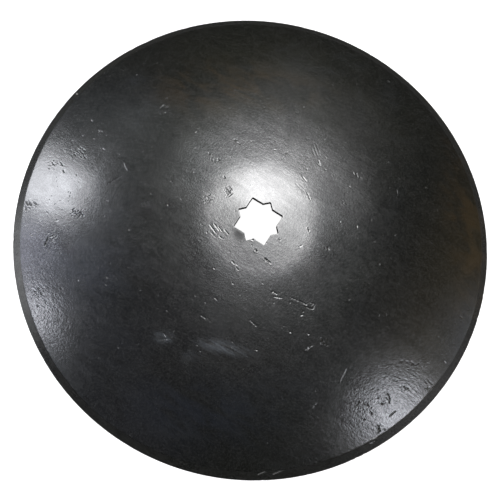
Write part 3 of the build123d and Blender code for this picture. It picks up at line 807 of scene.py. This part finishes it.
streak_at = stretched(t, where, (60.0, 520.0, 520.0))
streak = noise(t, streak_at, 1.0, 3.0, 0.6)
gloss = calc(t, "ADD", ramp(t, blotch, 0.3, 0.7, 0.226, 0.246), ramp(t, streak, 0.35, 0.65, -0.010, 0.014))
gloss = calc(t, "ADD", gloss, ramp(t, mottle, 0.4, 0.7, -0.008, 0.016))
gloss = calc(t, "SUBTRACT", gloss, calc(t, "MULTIPLY", smooth_there, 0.03))
gloss = calc(t, "ADD", gloss, calc(t, "MULTIPLY", on_bevel, 0.05))
gloss = calc(t, "ADD", gloss, calc(t, "MULTIPLY", dusty, 0.10))
gloss = calc(t, "ADD", gloss, calc(t, "MULTIPLY", stained, 0.14))
gloss = calc(t, "ADD", gloss, calc(t, "MULTIPLY", worn, 0.15))
t.links.new(gloss, shader.inputs["Roughness"])
t.links.new(calc(t, "MULTIPLY", worn, 0.8), shader.inputs["Metallic"])
shader.inputs["IOR"].default_value = 2.333
sheen = calc(t, "ADD", ramp(t, film, 0.34, 0.66, 0.450, 0.547), ramp(t, streak, 0.35, 0.65, -0.018, 0.018))
speckled = calc(t, "MULTIPLY_ADD", smooth_there, -0.85, 1.0)
sheen = calc(t, "ADD", sheen, calc(t, "MULTIPLY", ramp(t, fine, 0.32, 0.68, -0.085, 0.085), speckled))
sheen = calc(t, "SUBTRACT", sheen, calc(t, "MULTIPLY", stained, 0.30))
sheen = calc(t, "MULTIPLY", sheen, calc(t, "MULTIPLY_ADD", cut, -0.85, 1.0))
t.links.new(sheen, shader.inputs["Specular IOR Level"])

peel = noise(t, where, 420.0, 2.0, 0.6, 0.3)
grain = noise(t, where, 800.0, 1.0, 0.5)
wide = noise(t, where, 110.0, 2.0, 0.5)
roll = noise(t, stretched(t, where, (110.0, 480.0, 480.0), 0.05), 1.0, 2.0, 0.6)
relief = bump(t, wide, 0.00003)
relief = bump(t, calc(t, "MULTIPLY", peel, calc(t, "MULTIPLY", calc(t, "MULTIPLY_ADD", coarse, 0.8, 1.0), calc(t, "MULTIPLY_ADD", smooth_there, -0.6, 1.0))), 0.000066, relief)
relief = bump(t, calc(t, "MULTIPLY", roll, calc(t, "MULTIPLY_ADD", coarse, 3.0, 1.0)), 0.00003, relief)
relief = bump(t, calc(t, "MULTIPLY", grain, calc(t, "MULTIPLY_ADD", smooth_there, -0.7, 1.0)), 0.000051, relief)


def pits(vector, scale, radius, share):
    """1 over small pits, one in some of the cells of a random pattern, and 0 between them."""
    n = t.nodes.new("ShaderNodeTexVoronoi")
    n.inputs["Scale"].default_value = scale
    t.links.new(vector, n.inputs["Vector"])
    chance = t.nodes.new("ShaderNodeSeparateColor")
    t.links.new(n.outputs["Color"], chance.inputs[0])
    chosen = ramp(t, chance.outputs[0], 1 - share - 0.02, 1 - share + 0.02)
    size = calc(t, "MULTIPLY_ADD", chance.outputs[1], 0.9 * radius, 0.35 * radius)
    edge = ramp(t, calc(t, "DIVIDE", n.outputs["Distance"], size), 0.35, 1.0, 1.0, 0.0)
    return calc(t, "MULTIPLY", edge, chosen)


jitter = t.nodes.new("ShaderNodeTexNoise")
jitter.inputs["Scale"].default_value = 900.0
jitter.inputs["Detail"].default_value = 1.0
t.links.new(where, jitter.inputs["Vector"])
ragged = t.nodes.new("ShaderNodeVectorMath")
ragged.operation = "MULTIPLY_ADD"
ragged.inputs[1].default_value = (0.0011, 0.0011, 0.0011)
t.links.new(jitter.outputs["Color"], ragged.inputs[0])
t.links.new(where, ragged.inputs[2])
uneven = ragged.outputs[0]
small_pits = pits(uneven, 95.0, 0.095, 0.42)
dashes = pits(stretched(t, uneven, (42.0, 150.0, 150.0), -0.10), 1.0, 0.12, 0.30)
nicks = pits(stretched(t, uneven, (150.0, 48.0, 150.0), 0.45), 1.0, 0.11, 0.16)
holes = calc(t, "ADD", small_pits, calc(t, "ADD", calc(t, "MULTIPLY", dashes, calc(t, "MULTIPLY_ADD", coarse, 0.7, 0.5)), calc(t, "MULTIPLY", nicks, 0.6)))
relief = bump(t, calc(t, "MULTIPLY", holes, calc(t, "MULTIPLY_ADD", smooth_there, 0.7, -1.0)), 0.00016, relief)
t.links.new(relief, shader.inputs["Normal"])
blade.data.materials.append(paint)

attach(blade, "root")
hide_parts("disc_blade")

# ---- floor, brightest under the hole, where its glow is painted light filling the shade under the dish ---
floor_mesh = bpy.data.meshes.new("floor")
n = 96
rim_points = [(7.0 * math.cos(2 * math.pi * k / n), 7.0 * math.sin(2 * math.pi * k / n), 0.0) for k in range(n)]
floor_mesh.from_pydata(rim_points, [], [list(range(n))])
floor = bpy.data.objects.new("floor", floor_mesh)
bpy.context.scene.collection.objects.link(floor)
floor.location.z = -0.0002
floor.visible_glossy = False
pale = bpy.data.materials.new("pale_floor")
pale.use_nodes = True
ft = pale.node_tree
fs = ft.nodes["Principled BSDF"]
fs.inputs["Roughness"].default_value = 0.9
fs.inputs["Specular IOR Level"].default_value = 0.1
fw = ft.nodes.new("ShaderNodeTexCoord").outputs["Object"]
cloudy = ramp(ft, noise(ft, fw, 3.0, 2.0), 0.3, 0.7)
ft.links.new(blend(ft, cloudy, (0.80, 0.80, 0.80), (0.83, 0.83, 0.83)), fs.inputs["Base Color"])
far = ft.nodes.new("ShaderNodeVectorMath")
far.operation = "LENGTH"
ft.links.new(fw, far.inputs[0])
# Emission: the whole floor glows as a white backdrop, and glows more under the hole as painted light that lifts the
# shade beneath the dish.
fs.inputs["Emission Color"].default_value = (1.0, 1.0, 1.0, 1.0)
ft.links.new(ramp(ft, far.outputs["Value"], 0.08, 0.2, 1.0, 0.92), fs.inputs["Emission Strength"])
floor_mesh.materials.append(pale)


# ---- light -------------------------------------------------------------------------
FAR = 20.0


def light_axes(direction, roll):
    """The light's two own directions, square to the way it lies from the origin."""
    d = Vector(direction).normalized()
    side = Vector((math.cos(math.radians(roll)), math.sin(math.radians(roll)), 0.0))
    side = (side - d * side.dot(d)).normalized()
    return d, side, d.cross(side)


def softbox(name, direction, roll, half_width, half_height, soft, radiance, colour=(1.0, 1.0, 1.0)):
    """A far rectangle whose brightness fades over its edges; the half sizes are tangents of angles seen from the origin."""
    d, side, upright = light_axes(direction, roll)
    width, height = 2 * half_width * (1 + soft) * FAR, 2 * half_height * (1 + soft) * FAR
    data = bpy.data.lights.new(name, "AREA")
    data.shape = "RECTANGLE"
    data.size, data.size_y = width, height
    data.energy = radiance * math.pi * width * height
    data.color = colour
    data.use_nodes = True
    tree = data.node_tree
    tree.nodes.clear()
    out = tree.nodes.new("ShaderNodeOutputLight")
    glow = tree.nodes.new("ShaderNodeEmission")
    across = tree.nodes.new("ShaderNodeSeparateXYZ")
    tree.links.new(tree.nodes.new("ShaderNodeNewGeometry").outputs["Parametric"], across.inputs[0])
    fades = []
    for k in range(2):
        from_middle = calc(tree, "ABSOLUTE", calc(tree, "SUBTRACT", across.outputs[k], 0.5))
        fades.append(ramp(tree, calc(tree, "MULTIPLY", from_middle, 2 * (1 + soft)), 1 - soft, 1 + soft, 1.0, 0.0))
    tree.links.new(calc(tree, "MULTIPLY", fades[0], fades[1]), glow.inputs["Strength"])
    tree.links.new(glow.outputs[0], out.inputs["Surface"])
    lamp = bpy.data.objects.new(name, data)
    bpy.context.scene.collection.objects.link(lamp)
    m = Matrix((side, upright, d)).transposed().to_4x4()
    m.translation = d * FAR + Vector((0, 0, 0.03))
    lamp.matrix_world = m
    return lamp


softbox("overhead", (-0.098, 0.345, 0.934), 30.0, 0.191, 0.206, 0.38, 5.33, (1.005, 1.0, 0.985))
softbox("overhead_halo", (-0.094, 0.379, 0.921), 23.6, 0.243, 0.335, 0.76, 1.130, (0.96, 0.98, 1.07))
softbox("overhead_strip", (-0.146, 0.404, 0.903), -61.4, 0.188, 0.086, 0.30, 1.533, (1.0, 0.98, 1.02))
softbox("left", (-0.860, -0.024, 0.509), 1.3, 0.186, 0.095, 0.22, 5.25, (0.975, 0.99, 1.05))
softbox("left_second", (-0.817, -0.296, 0.495), -3.1, 0.109, 0.104, 0.90, 1.60, (0.95, 0.98, 1.25))
softbox("left_small", (-0.665, -0.531, 0.524), 9.0, 0.086, 0.082, 0.75, 6.740, (1.0, 1.02, 1.12))
softbox("right", (0.820, -0.072, 0.567), -3.7, 0.122, 0.113, 0.65, 4.789, (0.97, 1.0, 1.1))

# ---- surroundings ------------------------------------------------------------------
world = bpy.data.worlds.new("room")
bpy.context.scene.world = world
world.use_nodes = True
w = world.node_tree
w.nodes.clear()
wo = w.nodes.new("ShaderNodeOutputWorld")
view = w.nodes.new("ShaderNodeTexCoord").outputs["Generated"]


def along(vector):
    n = w.nodes.new("ShaderNodeVectorMath")
    n.operation = "DOT_PRODUCT"
    n.inputs[1].default_value = vector
    w.links.new(view, n.inputs[0])
    return n.outputs["Value"]


def glow_from(room, direction, roll, half_width, half_height, soft, radiance, colour=(1.0, 1.0, 1.0)):
    """Adds a dim soft rectangle of the room's own light to the surroundings."""
    d, side, upright = light_axes(direction, roll)
    ahead = calc(w, "MAXIMUM", along(d), 0.05)
    share = ramp(w, along(d), 0.05, 0.12)
    for axis, half in ((side, half_width), (upright, half_height)):
        off = calc(w, "DIVIDE", calc(w, "ABSOLUTE", along(axis)), ahead)
        share = calc(w, "MULTIPLY", share, ramp(w, calc(w, "DIVIDE", off, half), 1 - soft, 1 + soft, 1.0, 0.0))
    n = w.nodes.new("ShaderNodeMix")
    n.data_type, n.blend_type, n.clamp_factor, n.clamp_result = "RGBA", "ADD", False, False
    w.links.new(share, n.inputs[0])
    w.links.new(room, n.inputs[6])
    n.inputs[7].default_value = (*(radiance * c for c in colour), 1.0)
    return n.outputs[2]


height = along(Vector((0.0, 0.0, 1.0)))
room = blend(w, ramp(w, height, 0.12, -0.06), (0.0232, 0.0254, 0.0178), (0.105, 0.104, 0.098))
room = blend(w, ramp(w, height, -0.10, -0.35), room, (0.057, 0.057, 0.05))
room = blend(w, ramp(w, height, -0.50, -0.80), room, (0.008, 0.008, 0.008))
for name, *numbers in (
    ("below the hole", (0.0, 0.12, 0.993), 32.0, 0.17, 0.15, 0.9, 0.2151, (1.0, 1.0, 1.0)),
    ("below the hole, small", (0.057, 0.05, 0.997), 32.0, 0.08, 0.08, 0.9, 0.3401, (1.0, 1.0, 1.0)),
    ("right of the hole", (0.10, 0.49, 0.866), 32.0, 0.12, 0.17, 0.9, 0.2595, (0.97, 1.0, 1.05)),
    ("left of the hole", (-0.33, 0.39, 0.86), 32.0, 0.17, 0.15, 0.9, 0.1815, (1.0, 1.0, 1.0)),
    ("left", (-0.928, -0.005, 0.373), 2.1, 0.475, 0.409, 0.87, 0.1177, (0.95, 1.05, 1.15)),
    ("right", (0.853, 0.367, 0.372), 15.4, 0.346, 0.681, 0.69, 0.0794, (1.45, 1.05, 0.45)),
    ("far", (-0.267, 0.734, 0.624), 4.9, 0.424, 0.339, 0.73, 0.0340, (1.08, 1.0, 0.2)),
    ("near left", (-0.133, -0.299, 0.945), -135.8, 0.348, 0.191, 0.91, 0.0550, (0.9, 0.85, 1.0)),
    ("near", (-0.172, -0.820, 0.546), -138.2, 0.361, 0.284, 0.86, 0.0403, (1.05, 1.05, 1.5)),
    ("above right", (0.346, -0.138, 0.928), -1.1, 0.322, 0.261, 0.96, 0.0725, (0.9, 0.92, 1.0)),
    ("above left", (-0.331, 0.436, 0.837), -1.1, 0.246, 0.354, 0.83, 0.1845, (0.95, 0.97, 0.95)),
    ("left edge", (-0.912, -0.225, 0.344), -2.4, 0.195, 0.349, 0.50, 0.4301, (0.97, 1.0, 1.04)),
    ("left window, low", (-0.892, -0.452, -0.02), 0.0, 0.29, 0.20, 0.60, 0.8476, (0.98, 1.0, 1.03)),
    ("right, low", (0.995, -0.04, 0.0), 90.0, 0.30, 0.12, 0.60, 0.1707, (1.0, 1.0, 1.10)),
    ("left, middle", (-0.626, -0.251, 0.738), 32.0, 0.10, 0.10, 0.9, 0.2769, (0.9, 1.0, 1.3)),
    ("right edge", (0.88, 0.33, 0.341), 32.0, 0.18, 0.18, 0.9, 0.3321, (0.82, 1.0, 1.3)),
    ("far, small", (0.0, 0.83, 0.558), 32.0, 0.10, 0.10, 0.9, 0.2069, (1.0, 1.0, 1.08)),
    ("near left edge", (-0.47, -0.705, 0.531), 32.0, 0.10, 0.10, 0.9, 0.3161, (0.9, 1.0, 1.1)),
    ("below the hole, smallest", (0.0, 0.134, 0.991), 32.0, 0.10, 0.10, 0.9, 0.5003, (1.0, 1.0, 1.0)),
    ("far left", (-0.72, 0.36, 0.594), 32.0, 0.10, 0.10, 0.9, 0.3020, (0.93, 1.0, 1.07)),
    ("far, smallest", (-0.234, 0.82, 0.522), 32.0, 0.10, 0.10, 0.9, 0.2282, (0.95, 1.0, 1.07)),
    ("above left, small", (-0.386, 0.386, 0.838), 32.0, 0.10, 0.10, 0.9, 0.3030, (0.85, 1.0, 1.02)),
    ("above far", (0.129, 0.516, 0.847), 32.0, 0.10, 0.10, 0.9, 0.2901, (0.98, 1.0, 0.95)),
):
    room = glow_from(room, *numbers)
inside = w.nodes.new("ShaderNodeBackground")
w.links.new(room, inside.inputs["Color"])
seen = w.nodes.new("ShaderNodeBackground")
seen.inputs["Color"].default_value = (1.0, 1.0, 1.0, 1.0)
rays = w.nodes.new("ShaderNodeLightPath")
pick = w.nodes.new("ShaderNodeMixShader")
w.links.new(rays.outputs["Is Camera Ray"], pick.inputs[0])
w.links.new(inside.outputs[0], pick.inputs[1])
w.links.new(seen.outputs[0], pick.inputs[2])
w.links.new(pick.outputs[0], wo.inputs["Surface"])

# ---- camera ------------------------------------------------------------------------
lens = bpy.data.cameras.new("camera")
lens.lens = 76.43
lens.sensor_width = 36.0
lens.sensor_fit = "HORIZONTAL"
lens.clip_start, lens.clip_end = 0.02, 60.0
camera = bpy.data.objects.new("camera", lens)
bpy.context.scene.collection.objects.link(camera)
right, up, back = Vector((0.84574, 0.52909, 0.06943)), Vector((-0.52852, 0.81252, 0.24587)), Vector((0.07376, -0.24461, 0.96679))
m = Matrix((right, up, back)).transposed().to_4x4()
m.translation = Vector((0.078538, -0.261419, 0.986309))
camera.matrix_world = m
bpy.context.scene.camera = camera

# ---- how the picture is shown ------------------------------------------------------
bpy.context.scene.view_settings.view_transform = "Standard"
